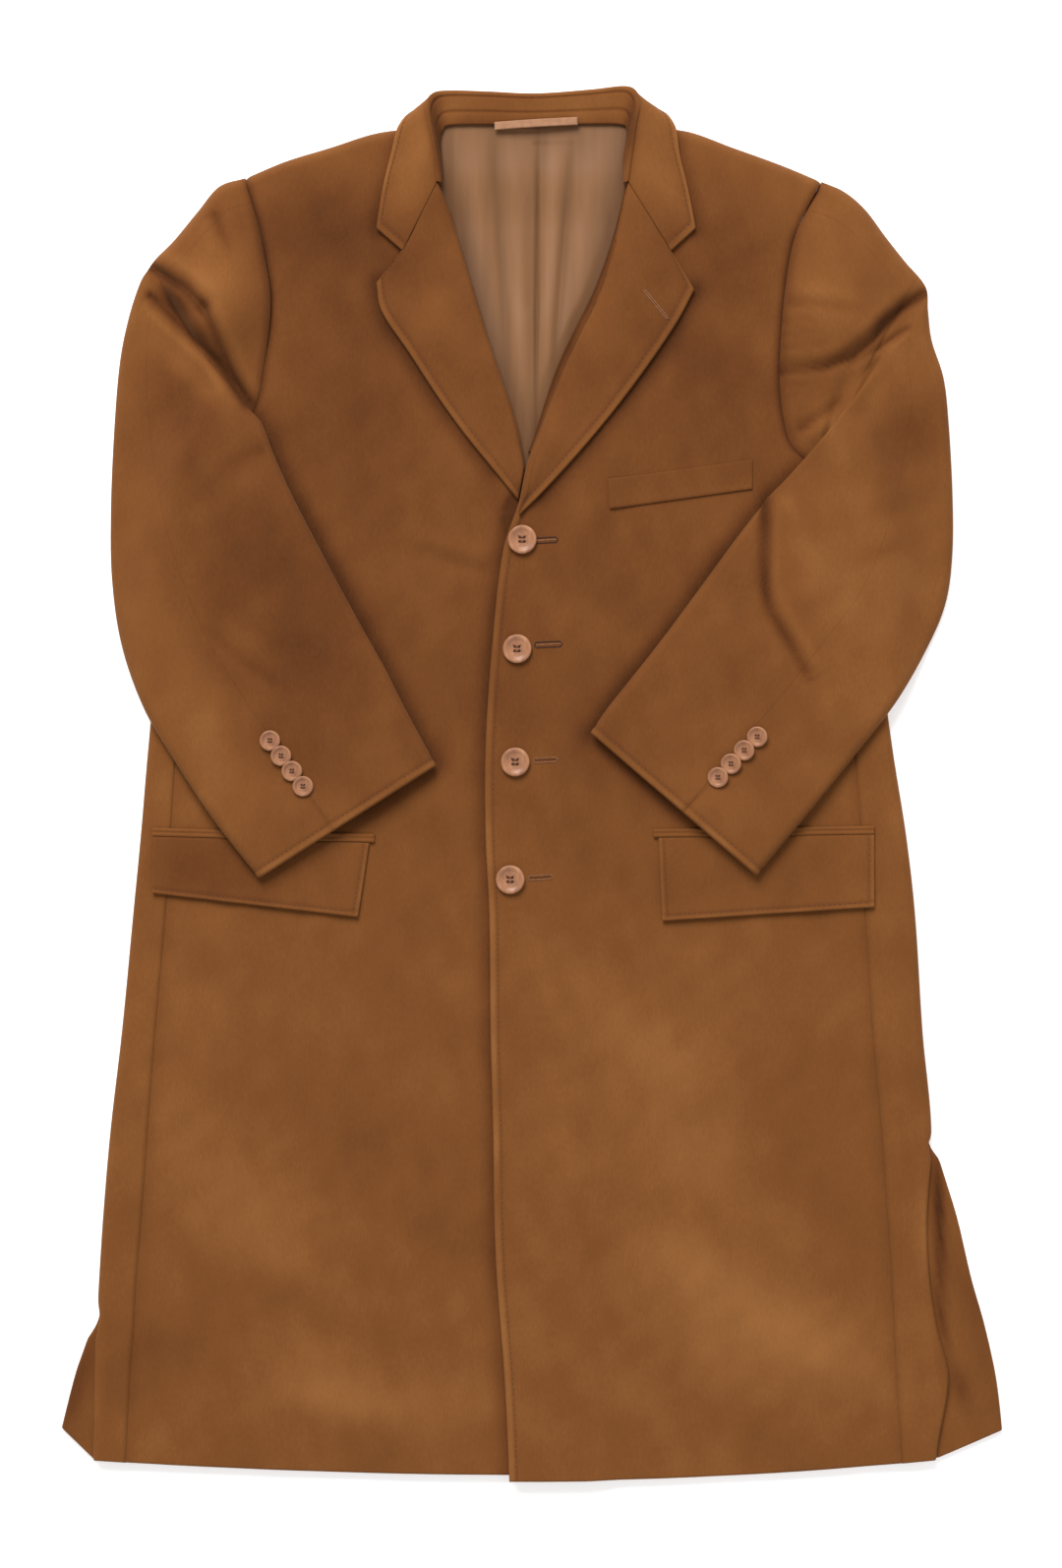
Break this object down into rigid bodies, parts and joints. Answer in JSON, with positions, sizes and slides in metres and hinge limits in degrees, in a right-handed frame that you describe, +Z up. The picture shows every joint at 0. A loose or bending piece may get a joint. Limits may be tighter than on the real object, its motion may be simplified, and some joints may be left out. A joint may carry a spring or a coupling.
{
  "type": "wool overcoat",
  "caption": "Single-breasted wool overcoat with notch lapels and flap pockets, laid flat on its back with both sleeves folded across the fronts.",
  "frame": {"origin": "middle of the coat's outline as it lies, on the surface it rests on", "axes": "+X towards the wearer's left, +Y from the hem to the collar, +Z up from the surface it rests on"},
  "size_m": [0.7477, 1.1052, 0.0289],
  "materials": {
    "wool": "soft brushed wool",
    "lining": "smooth satin",
    "tape": "woven tape",
    "button": "satin"
  },
  "bodies": {
    "root": {"back": "wool", "front_right": "wool", "front_left": "wool", "side_right": "wool", "side_left": "wool", "lapel_right": "wool", "lapel_left": "wool", "collar": "wool", "top_sleeve_right": "wool", "under_sleeve_right": "wool", "top_sleeve_left": "wool", "under_sleeve_left": "wool", "flap_right": "wool", "flap_left": "wool", "welt_breast": "wool", "lining_back": "lining", "hanger_loop": "tape", "button_front_1": "button", "button_front_2": "button", "button_front_3": "button", "button_front_4": "button", "button_cuff_right_1": "button", "button_cuff_right_2": "button", "button_cuff_right_3": "button", "button_cuff_right_4": "button", "button_cuff_left_1": "button", "button_cuff_left_2": "button", "button_cuff_left_3": "button", "button_cuff_left_4": "button"}
  },
  "joints": []
}
